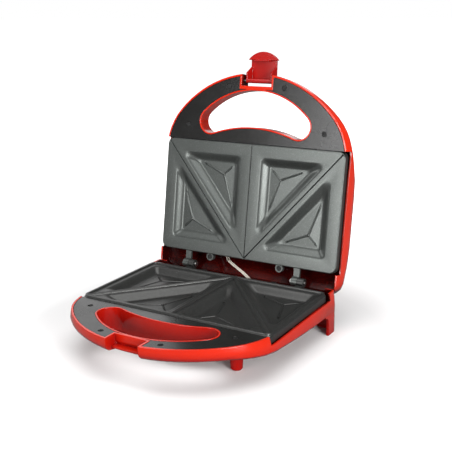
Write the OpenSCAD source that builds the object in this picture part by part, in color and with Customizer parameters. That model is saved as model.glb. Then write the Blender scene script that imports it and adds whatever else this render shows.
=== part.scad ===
// Hinged sandwich toaster for four triangular pockets, drawn with its lid open.
// Each half is drawn as a lid: lying on the plane where the two plates meet, with its outside up.
// The base is the same half turned over. The middle of the plates' back edge is the starting point.

/* [Pose] */
// Angle between the open lid and the closed one
open_angle = 99.6; // [92:0.1:99.6]
// Angle of the raised latch from hanging straight down
latch_angle = 85; // [80:1:90]
// Height of the plane where the plates meet above the table
stand_h = 46.5; // [44:0.5:60]

/* [Plates] */
// Width of the plates
plate_w = 226; // [222:1:228]
// Depth of the plates from front to back
plate_d = 130; // [122:1:131]
// Corner radius of the plates
plate_corner_r = 7; // [4:0.5:10]
// Height of the plates' outer edge
plate_edge_h = 8.2; // [7.6:0.1:8.3]
// Thickness of the cast plate
plate_wall = 3; // [2.4:0.1:3.2]
// Gap between the closed plates
plate_gap = 0.3; // [0.2:0.1:0.6]
// Height of the lower plate's rim over its housing, which is also the closed housings' gap
plate_up = 1.6; // [0:0.1:1.8]
// Size of the bevel round the faces of the plates
plate_bevel = 1.2; // [0.4:0.1:1.4]
// Height of the raised rim and ridges over the lower plate's lands
ridge_h = 1.8; // [1:0.1:2.2]
// Width of the raised rim and ridges
ridge_w = 3; // [2:0.1:4]
// Depth of the lower plate's wells under the meeting plane of the housings
lower_depth = 8; // [6.5:0.1:8.2]
// Depth of the upper plate's wells
upper_depth = 6.4; // [5:0.1:6.8]
// Width of the well's curved flank
flank_w = 11; // [8:0.5:12]
// Corner radius of the well's mouth
well_corner_r = 5; // [3:0.5:7]
// Land between the edge and a well of the upper plate
upper_land = 12.3; // [10:0.1:14]
// Land between the edge and a well of the lower plate
lower_land = 6.5; // [5:0.1:9]
// Land between the dividing line and a well
divider_land = 5; // [4:0.1:7]
// Radius of the screw ears on the plates
ear_r = 4.6; // [4:0.1:5]
// Distance of the back screw ears from the middle
ear_x = 45.6; // [40:0.1:55]
// Distance of the front screw ears from the middle
front_ear_x = 80; // [78:0.5:88]

/* [Hinges] */
// Distance of the hinge line behind the plates
hinge_back = 16; // [16:0.1:18]
// Distance of each hinge from the middle
hinge_x = 71.7; // [66:0.1:90]
// Radius of the hinge knuckles
knuckle_r = 5; // [4:0.1:5.1]
// Length of one knuckle
knuckle_l = 7.3; // [5:0.1:9]
// Radius of the hinge pins
pin_r = 1.8; // [1.2:0.1:2.4]
// Radial clearance of a pin in its bore
pin_fit = 0.05; // [0.02:0.01:0.1]

/* [Housing outline] */
// Radius of the round front
front_r = 130.3; // [129:0.1:134]
// Distance of the front arc's centre behind the plates' front edge
front_set = 50; // [48:0.5:52]
// Radius where the front turns into the sides
shoulder_r = 70; // [50:1:80]
// Half of the housing's width at the plates' meeting plane
half_w = 115.5; // [115:0.1:118]
// Wall thickness of both housings
wall = 2.2; // [1.8:0.1:2.5]
// Height of the housing's edge at the front
front_edge_h = 12; // [11:0.1:13]
// Bulge of the side walls below the rim
bulge = 2.6; // [1:0.1:3]
// Height by which the side ledges lie back from the meeting plane
ledge_h = 8.5; // [7:0.1:9.3]
// Distance from the plates' back edge to where the rear ears rise
ear_front = 2; // [0:0.5:6]

/* [Lid] */
// Back of the lid behind the plates
lid_back = 25.3; // [24.3:0.1:25.3]
// Corner radius of the lid's back
lid_back_r = 10; // [4:0.5:14]
// Height of the arch along the lid's sides
lid_arch_h = 15; // [10:0.5:17]
// Rise of the lid's crown over its edge
lid_rise = 11; // [9:0.5:16]
// Clear height of the lid's back rim over the meeting plane
lid_rim_gap = 1.5; // [1.4:0.1:3]
// Radius of the lamp lenses
lamp_r = 3.6; // [2.5:0.1:5]
// Distance of each lamp from the middle
lamp_x = 11; // [8:0.5:20]
// Distance of the lamps behind the plates' front edge
lamp_set = 18; // [14:1:26]

/* [Base] */
// Back of the base behind the plates
base_back = 16.2; // [15:0.1:16.2]
// Corner radius of the base's back
base_back_r = 3.4; // [3:0.1:6]
// Extra depth of the base's edge from front to back
base_drop = 12; // [9:0.5:14]
// Rise of the base's bottom over its edge
base_rise = 18; // [14:0.5:18]
// Length of a rear leg along the side
leg_l = 19.5; // [14:0.5:24]
// Wall thickness of the rear legs
leg_wall = 3; // [2:0.1:5]
// Distance of the front posts from the middle
post_x = 72; // [60:0.5:80]
// Distance of the front posts behind the plates' front edge
post_set = 9; // [4:0.5:14]
// Radius of the front posts at the table
post_r = 5.8; // [4:0.1:7]
// Radius of the front posts at the base
post_top_r = 7.5; // [6:0.1:10]
// Radius of the mains lead inlet
inlet_r = 4.6; // [3.5:0.1:5]
// Distance of the inlet from the middle
inlet_x = 60; // [40:1:80]

/* [Handle] */
// Radius of the handle opening's front arc
grip_r = 94; // [88:0.5:96]
// Distance of the opening's front behind the housing's front
grip_set = 19.3; // [17.3:0.5:21.3]
// Width of the inlays between the plates and the opening
grip_land = 18.3; // [16:0.1:20]
// Radius of the opening's round ends
grip_end_r = 13.9; // [12:0.1:15]
// Thickness of the black inlays
trim_t = 2.4; // [1.6:0.1:3]
// Depth of the inlays below the housing's lip
trim_sink = 0.3; // [0.1:0.1:0.6]
// Gap round the inlays
trim_fit = 0.2; // [0.1:0.05:0.4]
// Radius of the inlay screws' heads
screw_head_r = 2.6; // [2:0.1:3]

/* [Latch] */
// Half of the latch notch's width
notch_half = 19; // [18:0.5:22]
// Distance of the latch pin behind the housing's front
pin_set = 8.5; // [8.3:0.1:9.3]
// Height of the latch pin over the meeting plane
latch_up = 7.3; // [6.5:0.1:8]
// Half of the latch's width
latch_half = 16.2; // [14:0.1:17.4]
// Radius of the latch barrel
barrel_r = 2.5; // [2.4:0.1:3]
// Radius of the latch pin
latch_pin_r = 1.25; // [1:0.05:1.4]
// Distance of the latch's plate outside its pin
latch_reach = 9.3; // [8:0.1:10]
// Thickness of the latch
latch_t = 2; // [1.6:0.1:2.4]
// Length of the latch from its pin to its finger tab
latch_l = 24.7; // [24.4:0.1:28]
// Length of the finger tab
tab_l = 10; // [8:0.5:14]
// Half of the finger tab's width
tab_half = 17.9; // [16:0.1:18.6]
// Angle by which the shut latch leans in under the handles
latch_lean = 12; // [10:1:12]
// Depth of the keeper's underside below the meeting plane
keeper_down = 12.4; // [12:0.1:13.3]
// Thickness of the keeper
keeper_h = 2; // [1.6:0.1:2.4]

/* [Heating] */
// Radius of the sheathed heating element
element_r = 3.2; // [2.6:0.1:3.4]
// Half of the element loop's width
element_half = 58; // [44:1:62]
// Bend radius of the element
element_bend_r = 14; // [10:1:20]
// Height of the heat shield over the meeting plane
shield_up = 19.6; // [19.4:0.1:20.5]
// Thickness of the heat shield
shield_t = 0.8; // [0.5:0.1:1.2]

/* [Hidden] */
$fn = 48;
red = [0.78, 0.1, 0.08];
black = [0.12, 0.12, 0.12];
coating = [0.27, 0.28, 0.28];
steel = [0.62, 0.62, 0.62];
far = 400;
seat_gap = 0.1;

// Line where the inlays end and the plates begin
trim_back = plate_d + plate_bevel + 0.5;
// Distances from the plates' back edge: front arc's centre, opening's front, latch pin
front_back = plate_d - front_set;
grip_front = front_back + front_r - grip_set;
latch_front = front_back + front_r - pin_set;
// The opening's back arc turns about a point in line with the front arc's centre
grip_back_c = front_back - 80;
grip_back_r = trim_back - grip_back_c + grip_land;
lamp_front = plate_d - lamp_set;
post_front = plate_d - post_set;
// Height of the hinge line over the base's edge and over the lid's
hinge_up = plate_up / 2;
// Where the arch along the lid's sides starts and ends, and the length of its slopes
arch_front = plate_d + 10;
arch_front_l = 50;
arch_back = 38;
arch_back_l = 60;
// Length over which the base grows deeper towards its back
drop_run = plate_d + 40;
// Highest point of both crowns
crown_front = 60;
edge_round = 4.5;
edge_lift = 2.7;
front_round = 5;
crown_round = 110;
// Length over which the side walls' bulge grows from the front
bulge_front = plate_d + 85;
bulge_run = 85;

function arc(c, rx, ry, a, b, n) =
    [for (i = [0:n]) let (t = a + (b - a) * i / n) c + [rx * cos(t), ry * sin(t)]];
function tail(list) = [for (i = [1:len(list) - 1]) list[i]];
function other_half(pts) = [for (i = [len(pts) - 2:-1:1]) [-pts[i][0], pts[i][1]]];
function line(a, b, n) = [for (i = [1:n]) a + (b - a) * i / n];

// Plan outline of a housing, drawn in by d all round and by inset at the back as well
function outline(d, inset, back, back_r) =
    let (
        hw = half_w - d - inset,
        rear = back - inset - max(d, 0),
        corner = max(0.4, back_r - d - inset),
        sx = half_w - shoulder_r,
        sy = -front_back - sqrt(pow(front_r - shoulder_r, 2) - sx * sx),
        sa = atan2(sy + front_back, sx),
        r1 = front_r - d - inset,
        r2 = shoulder_r - d - inset,
        half = concat(
            arc([0, -front_back], r1, r1, -90, sa, 12),
            tail(arc([sx, sy], r2, r2, sa, 0, 6)),
            line([hw, sy], [hw, rear - corner], 7),
            tail(arc([hw - corner, rear - corner], corner, corner, 0, 90, 3)),
            line([hw - corner, rear], [0, rear], 2)
        )
    ) concat(half, other_half(half));

// Smooth step from 0 to 1
function ease(t) = let (u = min(1, max(0, t))) u * u * (3 - 2 * u);

// Height of the edge where a housing's side turns into its crown
lid_edge = function (y) front_edge_h
    + lid_arch_h * ease((y + arch_front) / arch_front_l) * ease((arch_back - y) / arch_back_l);
base_edge = function (y)
    front_edge_h - 0.5 + base_drop * sin(90 * min(1, max(0, (y + drop_run) / drop_run)));

// Rings of points from the rim over the bulging side and the rounded edge to the crown
function skin(edge, rise, inset, start, back, back_r, steps) =
    let (
        profile = [
            [0, -0.55 * bulge, 0.35, 0], [0.3, -bulge, 0.7, 0], [1.4, -0.9 * bulge, 0.95, 0],
            [3.6, -0.2 * bulge, 1, 0.55 * edge_lift], [front_round, edge_round, 1, edge_lift]
        ],
        rim = outline(0, inset, back, back_r),
        last = function (s) outline(edge_round, inset, back, back_r + crown_round * (1 - s))
    ) concat(
        [[for (p = rim) [p[0], p[1], start]]],
        [for (s = profile)
            let (a = outline(s[0], inset, back, back_r), b = outline(s[1], inset, back, back_r))
            [for (i = [0:len(rim) - 1])
                let (p = a[i] + ease((rim[i][1] + bulge_front) / bulge_run) * (b[i] - a[i]))
                [p[0], p[1], s[2] * edge(p[1]) + s[3] - inset * s[2]]]],
        [for (s = steps) [for (p = last(s))
            let (y = s * (p[1] + crown_front) - crown_front)
            [s * p[0], y, edge(y) + s * s * edge_lift + (1 - s * s) * rise - inset]]]
    );

function flat(list) = [for (row = list) for (p = row) p];

// Closed solid through rings of points, with a flat start and a tip in the middle of the last ring
module loft(rings, tip) {
    n = len(rings[0]);
    m = len(rings);
    points = concat(flat(rings), [tip]);
    sides = [for (k = [0:m - 2]) for (i = [0:n - 1])
        let (j = (i + 1) % n, a = k * n + i, b = k * n + j, c = a + n, d = b + n)
        each [[a, c, b], [b, c, d]]];
    start = [[for (i = [0:n - 1]) i]];
    end = [for (i = [0:n - 1]) [(m - 1) * n + i, m * n, (m - 1) * n + (i + 1) % n]];
    polyhedron(points, concat(start, sides, end), convexity = 6);
}

crown_steps = [0.91, 0.78, 0.6, 0.33];

function crown_top(edge, rise) = edge(-crown_front) + rise;

module half_outside(edge, rise, back, back_r)
    loft(skin(edge, rise, 0, 0, back, back_r, crown_steps),
        [0, -crown_front, crown_top(edge, rise)]);

module half_cavity(edge, rise, back, back_r)
    loft(skin(edge, rise, wall, -1, back, back_r, crown_steps),
        [0, -crown_front, crown_top(edge, rise) - wall]);

// Handle opening: a front arc and a back arc joined by round ends that touch both
grip_c = -grip_front + grip_r;
grip_run = grip_c + grip_back_c;
end_y = (pow(grip_back_r + grip_end_r, 2) - pow(grip_r - grip_end_r, 2) + grip_run * grip_run)
    / (2 * grip_run) - grip_back_c;
end_x = sqrt(pow(grip_back_r + grip_end_r, 2) - pow(end_y + grip_back_c, 2));

function grip(grow) =
    let (
        af = atan2(end_y - grip_c, end_x),
        ab = atan2(-end_y - grip_back_c, -end_x),
        r = grip_end_r + grow,
        half = concat(
            arc([0, grip_c], grip_r + grow, grip_r + grow, -90, af, 12),
            tail(arc([end_x, end_y], r, r, af, ab, 10)),
            tail(arc([0, -grip_back_c], grip_back_r - grow, grip_back_r - grow, ab - 180, -90, 7))
        )
    ) concat(half, other_half(half));

grip_wall = 1.6;
// Angle from the front and distance behind the housing's front of the inlay screws
trim_screws_at = [for (s = [-1, 1]) for (q = [[52, 19.5], [17, 9.9]])
    [s * (front_r - q[1]) * sin(q[0]), -front_back - (front_r - q[1]) * cos(q[0])]];
rib_half = 66;
ear_y = 4.6;
ear_post_r = 3.1;
back_ears_at = [for (s = [-1, 1]) [s * ear_x, ear_y]];
front_ears_at = [for (s = [-1, 1]) [s * front_ear_x, -plate_d - 4.2]];
ear_h = 5;
back_ear_up = 1;
front_ear_up = trim_sink + trim_t + 0.5;
leg_web_r = 8;
post_top = 16;
inlet_down = 19;
pilot_r = 1.3;
shank_l = 8;
keeper_front = latch_front - 1.4;
bar_front = latch_front - 6;
notch_back = latch_front - 7.5;
pin_l = 2 * (notch_half + 2);
slot_top = 8;
slot_depth = 1.6;
block_x = 21;
block_y = -29;
block_up = 21.4;
block_l = 26;
block_w = 13;
block_h = 7.5;

module at_points(points) for (p = points) translate([p[0], p[1], 0]) children();

module trim_shape(gap)
    difference() {
        polygon(outline(wall + gap, 0, 0, 3));
        polygon(grip(grip_wall + gap));
        translate([-far, -trim_back + gap]) square([2 * far, far]);
        translate([-notch_half - wall - gap, -far])
            square([2 * (notch_half + wall + gap), far - notch_back + wall]);
    }

// What stands inside the hollow of either half: walls, bosses and posts
module half_columns() {
    linear_extrude(far) polygon(grip(grip_wall));
    translate([-notch_half - wall, -far, 0]) cube([2 * (notch_half + wall), far - notch_back + wall, far]);
    translate([-rib_half, -trim_back - 3, trim_sink + trim_t + seat_gap]) cube([2 * rib_half, 2.2, far]);
    translate([0, 0, trim_sink + trim_t + seat_gap])
        at_points(trim_screws_at) cylinder(r = 4.2, h = far);
    translate([0, 0, back_ear_up + ear_h + seat_gap])
        at_points(back_ears_at) cylinder(r = ear_post_r, h = far);
    translate([0, 0, front_ear_up + ear_h + seat_gap])
        at_points(front_ears_at) cylinder(r = 4, h = far);
    for (s = [-1, 1]) translate([s * (element_half + 12), -55, shield_up + shield_t + seat_gap])
        cylinder(r = 3.5, h = far);
}

module half_pilots() {
    at_points(trim_screws_at) cylinder(r = pilot_r + pin_fit, h = trim_sink + shank_l + 2);
    at_points(back_ears_at) cylinder(r = pilot_r + pin_fit, h = back_ear_up + ear_h + shank_l);
    at_points(front_ears_at) cylinder(r = pilot_r + pin_fit, h = front_ear_up + ear_h + shank_l);
}

// Through cuts that both halves share: the handle opening and the step down along the sides
module half_cuts() {
    translate([0, 0, -1]) linear_extrude(far) polygon(grip(0));
    for (s = [-1, 1]) translate([s * (plate_w / 2 + far / 2 - 1) - far / 2, -trim_back, -1])
        cube([far, trim_back + ear_front, 1 + ledge_h]);
}

// ---- upper half ----

module upper_housing() color(red) in_lid() difference() {
    half_outside(lid_edge, lid_rise, lid_back, lid_back_r);
    difference() {
        half_cavity(lid_edge, lid_rise, lid_back, lid_back_r);
        half_columns();
    }
    half_cuts();
    half_pilots();
    translate([-far, 0, -1]) cube([2 * far, far, 1 + lid_rim_gap]);
    translate([-notch_half, -far, -1]) cube([2 * notch_half, far - bar_front, far]);
    translate([-pin_l / 2, -latch_front, latch_up]) rotate([0, 90, 0])
        cylinder(r = latch_pin_r + pin_fit, h = pin_l);
    for (s = [-1, 1]) translate([s * lamp_x, -lamp_front, 8]) cylinder(r = lamp_r + seat_gap, h = far);
}

module lower_housing() color(red) in_base() difference() {
    union() {
        difference() {
            half_outside(base_edge, base_rise, base_back, base_back_r);
            difference() {
                half_cavity(base_edge, base_rise, base_back, base_back_r);
                half_columns();
                translate([block_x - 2, block_y - 1, block_up + block_h + seat_gap])
                    cube([block_l + 4, block_w + 2, far]);
            }
            translate([-notch_half, -far, -1]) cube([2 * notch_half, far - notch_back, far]);
        }
        keeper_bar();
        rear_legs();
        front_posts();
    }
    translate([-notch_half + 1, -notch_back - 1, slot_top])
        cube([2 * notch_half - 2, 1 + slot_depth, keeper_down - keeper_h - slot_top]);
    half_cuts();
    half_pilots();
    rear_gap();
    translate([inlet_x, 0, inlet_down]) rotate([-90, 0, 0]) cylinder(r = inlet_r, h = far);
}

// Bar along the bottom of the base's notch that the latch hooks under
module keeper_bar()
    translate([-notch_half - 1, -keeper_front, keeper_down - keeper_h])
        cube([2 * notch_half + 2, keeper_front - notch_back + 3.4, keeper_h]);

// Corner walls that carry the base's sides and back down to the table
module rear_legs() {
    top = base_edge(0) - 4;
    corner = outline(-0.9 * bulge, 0, base_back, base_back_r);
    inner = outline(leg_wall - 0.9 * bulge, 0, base_back, base_back_r);
    intersection() {
        translate([0, 0, top]) linear_extrude(stand_h - top) difference() {
            polygon(corner);
            polygon(inner);
        }
        for (s = [-1, 1]) scale([s, 1, 1]) leg_block();
    }
}

// Block round a rear leg with round webs towards the side and the back
module leg_block() {
    side_y = base_back - leg_l;
    web = [for (a = [0:15:90]) leg_web_r * [sin(a) - 1, -cos(a)]];
    turn = base_edge(0) + leg_web_r + 1;
    translate([half_w - 20, 0, 0]) rotate([90, 0, 90]) linear_extrude(far)
        polygon(concat([[far, 0], [far, stand_h], [side_y, stand_h]],
            [for (i = [len(web) - 1:-1:0]) [side_y + web[i][0], turn + web[i][1]]],
            [[side_y - leg_web_r, 0]]));
}

module front_posts() for (s = [-1, 1]) translate([s * post_x, -post_front, 0]) {
    translate([0, 0, post_top]) cylinder(r1 = post_top_r + 2.5, r2 = post_top_r - 1, h = 10);
    translate([0, 0, post_top]) cylinder(r1 = post_top_r, r2 = post_r + 0.4, h = stand_h - post_top - 1.5);
    translate([0, 0, stand_h - 1.5]) cylinder(r1 = post_r + 0.4, r2 = post_r - 0.8, h = 1.5);
}

// The back wall between the rear ears lies back like the side ledges
module rear_gap() difference() {
    union() {
        translate([-far, 0, -1]) cube([2 * far, far, 1.5]);
        translate([-half_w + 11, 0, -1]) cube([2 * half_w - 22, far, 1 + ledge_h]);
    }
    translate([0, 0, back_ear_up + ear_h + seat_gap]) at_points(back_ears_at) cylinder(r = ear_post_r, h = far);
}

module handle_trim() color(black) difference() {
    translate([0, 0, trim_sink]) linear_extrude(trim_t) trim_shape(trim_fit);
    at_points(trim_screws_at) {
        cylinder(r = pilot_r + 0.3, h = far);
        cylinder(r = screw_head_r + 0.3, h = trim_sink + 1.2);
    }
}

module cross_head(r, h) difference() {
    cylinder(r = r, h = h);
    for (a = [0, 90]) rotate(a) translate([-0.75 * r, -0.35, -1]) cube([1.5 * r, 0.7, 1.5]);
}

module trim_screws() color(black) at_points(trim_screws_at) {
    translate([0, 0, trim_sink + 0.4]) cross_head(screw_head_r, 0.8);
    translate([0, 0, trim_sink + 1.1]) cylinder(r = pilot_r, h = shank_l);
}

module plate_screw(up) translate([0, 0, up + 0.7]) {
    cross_head(2.8, 1.5);
    translate([0, 0, 1.4]) cylinder(r = pilot_r, h = shank_l);
}

module plate_screws() color(black) {
    at_points(back_ears_at) plate_screw(back_ear_up);
    at_points(front_ears_at) plate_screw(front_ear_up);
}

// ---- cooking plates ----

// The dividing line runs from the middle of the back edge to a front corner
divider_angle = atan2(plate_d, plate_w / 2);
strap_h = 3.2;

// Corners of a well's mouth: a half plate's triangle drawn in from its edges and the dividing line
function well_corners(outer, land, inner) =
    let (
        w = plate_w / 2,
        d = divider_land / sin(divider_angle),
        slope = plate_d / w,
        low = outer ? w - land : inner,
        x0 = outer ? w - land : inner,
        y0 = outer ? -land : -plate_d + land
    ) outer
        ? [[x0, y0], [(-y0) / slope + d, y0], [x0, -(x0 - d) * slope]]
        : [[x0, y0], [(-y0) / slope - d, y0], [x0, -(x0 + d) * slope]];

// Incentre of a triangle and its inner circle's radius
function incentre(t) =
    let (
        a = norm(t[1] - t[2]), b = norm(t[0] - t[2]), c = norm(t[0] - t[1])
    ) (a * t[0] + b * t[1] + c * t[2]) / (a + b + c);
function inradius(t) =
    abs((t[1] - t[0])[0] * (t[2] - t[0])[1] - (t[1] - t[0])[1] * (t[2] - t[0])[0])
        / (norm(t[1] - t[2]) + norm(t[0] - t[2]) + norm(t[0] - t[1]));

// The mouth drawn in by d, with its corners rounded by r
function inset_triangle(t, d, r) =
    let (
        c = incentre(t),
        k = (inradius(t) - d - r) / inradius(t),
        turn = sign((t[1] - t[0])[0] * (t[2] - t[0])[1] - (t[1] - t[0])[1] * (t[2] - t[0])[0])
    ) [for (i = [0:2])
        let (
            p = c + k * (t[i] - c),
            u = t[i] - t[(i + 2) % 3],
            v = t[(i + 1) % 3] - t[i],
            a = atan2(u[1], u[0]) - 90 * turn,
            b0 = atan2(v[1], v[0]) - 90 * turn,
            b = turn > 0 ? (b0 < a ? b0 + 360 : b0) : (b0 > a ? b0 - 360 : b0)
        ) each arc(p, r, r, a, b, 5)];

// Pocket whose flank is an S curve from its mouth to a floor that rises a little to a point
module well(t, mouth, floor_at, extra) {
    steps = [0, 0.12, 0.3, 0.55, 0.8, 1];
    depth = floor_at + extra;
    ring = [for (s = steps) [for (p = inset_triangle(t, flank_w * s - extra * (1 - s) - 0.001,
        well_corner_r - 2.5 * s + extra * (1 - s)))
        [p[0], p[1], mouth + (depth - mouth) * (1 - cos(180 * s)) / 2]]];
    cover = [[for (p = inset_triangle(t, -extra - 0.001, well_corner_r + extra))
        [p[0], p[1], mouth - 3]]];
    c = floor_point(t);
    loft(concat(cover, ring), [c[0], c[1], depth - floor_rise]);
}

// Highest point of a pocket's floor, a little nearer the square corner than the incentre
function floor_point(t) = incentre(t) + 0.07 * (t[0] - incentre(t));
floor_rise = 0.4;
line_w = 1.6;

// Thin crossing ridges on the floor of a pocket, from its highest point towards its corners
module floor_lines(t, floor_at) {
    c = floor_point(t);
    for (p = t) let (v = p - c, reach = 0.5 * norm(v) - 4)
        translate([c[0], c[1], floor_at - floor_rise - 0.1]) rotate(atan2(v[1], v[0]))
            rotate([45, 0, 0]) translate([-0.5, -line_w / 2, -line_w / 2]) cube([reach, line_w, line_w]);
}

module cast_body(face) difference() {
    hull() {
        translate([0, 0, face]) linear_extrude(0.1) plate_shape(0);
        translate([0, 0, face + plate_bevel]) linear_extrude(plate_edge_h - face - plate_bevel)
            plate_shape(-plate_bevel);
    }
    translate([0, 0, face + plate_wall]) linear_extrude(far) plate_shape(plate_wall - plate_bevel);
}

// Plan outline of a plate's face, drawn in by d all round
module plate_shape(d) translate([0, -plate_d / 2]) offset(r = plate_corner_r)
    square([plate_w - 2 * plate_corner_r - 2 * d, plate_d - 2 * plate_corner_r - 2 * d], center = true);

module cast_bosses(face) {
    translate([0, strap_y, face]) cylinder(r = 4.5, h = strap_up - face - seat_gap);
    translate([0, -38, face]) cylinder(r = 9, h = plate_edge_h - face);
    for (s = [-1, 1]) translate([s * ear_x, ear_y, back_ear_up]) cylinder(r = ear_r, h = ear_h);
    for (s = [-1, 1]) translate([s * front_ear_x, -plate_d - 4.2, front_ear_up])
        cylinder(r = ear_r, h = ear_h);
}

module cast_holes() {
    at_points(back_ears_at) {
        cylinder(r = pilot_r + 0.3, h = far);
        cylinder(r = 3.1, h = back_ear_up + 2.3);
    }
    at_points(front_ears_at) {
        cylinder(r = pilot_r + 0.3, h = far);
        cylinder(r = 3.1, h = front_ear_up + 2.3);
    }
    translate([0, strap_y, face_low + plate_wall + 2]) cylinder(r = pilot_r + pin_fit, h = far);
    for (s = [-1, 1]) hinge_bore(s);
}

rim_low = plate_gap / 2 - plate_up;
face_low = rim_low + ridge_h;
face_high = plate_gap / 2;
element_up = lower_depth + plate_wall + seat_gap + element_r;
strap_up = element_up + element_r + seat_gap;

module hinge_bore(s) translate([s * hinge_x, hinge_back, -hinge_up]) rotate([0, 90, 0])
    translate([0, 0, -knuckle_l - 5]) cylinder(r = pin_r + pin_fit, h = 2 * knuckle_l + 10);

// Strap from the plate's edge to a knuckle on the hinge line; side is -1 left and 1 right of the joint
module lug(s, side) {
    x = s * hinge_x + side * (knuckle_l / 2 + 0.2);
    translate([x - knuckle_l / 2, 0, 0]) rotate([90, 0, 90]) linear_extrude(knuckle_l) {
        translate([hinge_back, -hinge_up]) circle(r = knuckle_r);
        translate([-1, knuckle_r - hinge_up - strap_h]) square([hinge_back + 1, strap_h]);
    }
}

module upper_cooking_plate() color(coating) in_lid() difference() {
    union() {
        cast_body(face_high);
        cast_bosses(face_high);
        for (s = [-1, 1]) lug(s, -1);
        plate_wells(upper_land, upper_land, face_high + 2, upper_depth, plate_wall);
    }
    plate_wells(upper_land, upper_land, face_high, upper_depth, 0);
    cast_holes();
    grooves();
}

module lower_cooking_plate() color(coating) in_base() difference() {
    union() {
        cast_body(face_low);
        cast_bosses(face_low);
        for (s = [-1, 1]) lug(s, 1);
        plate_wells(lower_land, lower_land - 1, face_low + 2, lower_depth, plate_wall - 0.2);
        ridges();
    }
    plate_wells(lower_land, lower_land - 1, face_low, lower_depth, 0);
    cast_holes();
}

// All four pockets of a plate; inner is the distance of the inner pockets from the middle
module plate_wells(land, inner, mouth, floor_at, extra)
    for (s = [-1, 1]) for (o = [false, true]) let (t = well_corners(o, land, inner))
        mirror([s < 0 ? 1 : 0, 0, 0]) difference() {
            well(t, mouth, floor_at, extra);
            if (extra == 0) floor_lines(t, floor_at);
        }

// Raised rim and the three raised dividing lines of the lower plate
module ridges() {
    difference() {
        translate([0, 0, rim_low]) linear_extrude(ridge_h + 0.5) plate_shape(0);
        translate([0, 0, rim_low - 1]) linear_extrude(far) plate_shape(ridge_w);
    }
    intersection() {
        translate([0, 0, rim_low]) linear_extrude(ridge_h + 0.5) plate_shape(0.2);
        union() {
            divider_bar(-90);
            divider_bar(-divider_angle);
            divider_bar(divider_angle - 180);
        }
    }
}

// Half-round bar along one dividing line
module divider_bar(a) rotate(a) translate([0, 0, rim_low + 2.2]) rotate([0, 90, 0])
    cylinder(r = 2.2, h = far);

// Shallow grooves of the upper plate that the lower plate's ridges meet
module grooves() for (a = [-90, -divider_angle, divider_angle - 180])
    rotate(a) translate([-far, 0, face_high]) rotate([45, 0, 0]) translate([0, -0.55, -0.55])
        cube([2 * far, 1.1, 1.1]);

// ---- heating ----

bend_c = element_half - element_bend_r;
loop_front = plate_d - 38;
loop_back = 30;
terminal_x = 16;
strap_y = -plate_d + 55;
strap_t = 1.4;

module rod(a, b) {
    v = b - a;
    translate([a[0], a[1], element_up]) rotate(atan2(v[1], v[0])) rotate([0, 90, 0])
        cylinder(r = element_r, h = norm(v));
}

module bend(c, a) translate([c[0], c[1], element_up]) rotate(a)
    rotate_extrude(angle = 90) translate([element_bend_r, 0]) circle(r = element_r);

module heating_element() color(steel) {
    rod([-bend_c, -loop_front], [bend_c, -loop_front]);
    for (s = [-1, 1]) mirror([s < 0 ? 1 : 0, 0, 0]) {
        bend([bend_c, -loop_front + element_bend_r], -90);
        rod([element_half, -loop_front + element_bend_r], [element_half, -loop_back - element_bend_r]);
        bend([bend_c, -loop_back - element_bend_r], 0);
        rod([bend_c, -loop_back], [terminal_x, -loop_back]);
        translate([terminal_x, -loop_back, element_up]) sphere(r = element_r);
        translate([terminal_x, -loop_back, element_up]) cylinder(r = element_r, h = 6);
        translate([terminal_x, -loop_back, element_up]) cylinder(r = 1.2, h = 14);
    }
}

module element_bushes() color("white") for (s = [-1, 1])
    translate([s * terminal_x, -loop_back, element_up + 6 + seat_gap]) difference() {
        cylinder(r = 3.6, h = 5);
        translate([0, 0, -1]) cylinder(r = 1.2 + pin_fit, h = 8);
    }

module element_clamp() color(steel) difference() {
    translate([-element_half - 5, strap_y - 7, strap_up]) cube([2 * element_half + 10, 14, strap_t]);
    translate([0, strap_y, strap_up - 1]) cylinder(r = pilot_r + 0.3, h = 4);
    for (s = [-1, 1]) translate([s * 30, strap_y, strap_up - 1]) cylinder(r = 4, h = 4);
}

module clamp_screw() color(steel) translate([0, strap_y, strap_up + strap_t + seat_gap]) {
    translate([0, 0, 1.6]) mirror([0, 0, 1]) cross_head(2.8, 1.6);
    translate([0, 0, -shank_l]) cylinder(r = pilot_r, h = shank_l + 0.5);
}

shield_half = element_half + 20;
shield_front = loop_front + 5;
shield_l = shield_front - 15;

module reflector() color([0.8, 0.8, 0.82]) difference() {
    union() {
        translate([-shield_half, -shield_front, shield_up]) cube([2 * shield_half, shield_l, shield_t]);
        for (x = [-shield_half, shield_half - shield_t])
            translate([x, -shield_front, shield_up - 3]) cube([shield_t, shield_l, 3]);
    }
    for (s = [-1, 1]) translate([s * terminal_x, -loop_back, 0]) cylinder(r = 5, h = far);
    translate([0, strap_y, 0]) cylinder(r = 4, h = far);
}

// ---- small parts ----

module hinge_pins() color(steel) in_place() for (s = [-1, 1])
    translate([s * hinge_x, hinge_back, hinge_up]) rotate([0, 90, 0]) {
        translate([0, 0, -knuckle_l - 1.4]) cylinder(r = pin_r, h = 2 * knuckle_l + 2.8);
        translate([0, 0, -s * (knuckle_l + 1.6) - 0.6]) cylinder(r = pin_r + 1, h = 1.2);
    }

module thermostat() color("tan") in_lid() translate([0, -38, plate_edge_h + seat_gap]) {
    cylinder(r = 7.8, h = 5);
    translate([0, 0, 5]) cylinder(r = 3, h = 3);
    for (s = [-1, 1]) translate([s * 5 - 1.5, -0.4, 5]) cube([3, 0.8, 3.5]);
}

fuse_r = 2.4;

module thermal_fuse() color("ivory") in_lid()
    translate([-element_half - 20, -38, upper_depth + plate_wall + seat_gap + fuse_r]) rotate([0, 90, 0]) {
        cylinder(r = fuse_r, h = 12);
        translate([0, 0, -5]) cylinder(r = 0.5, h = 22);
    }

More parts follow.
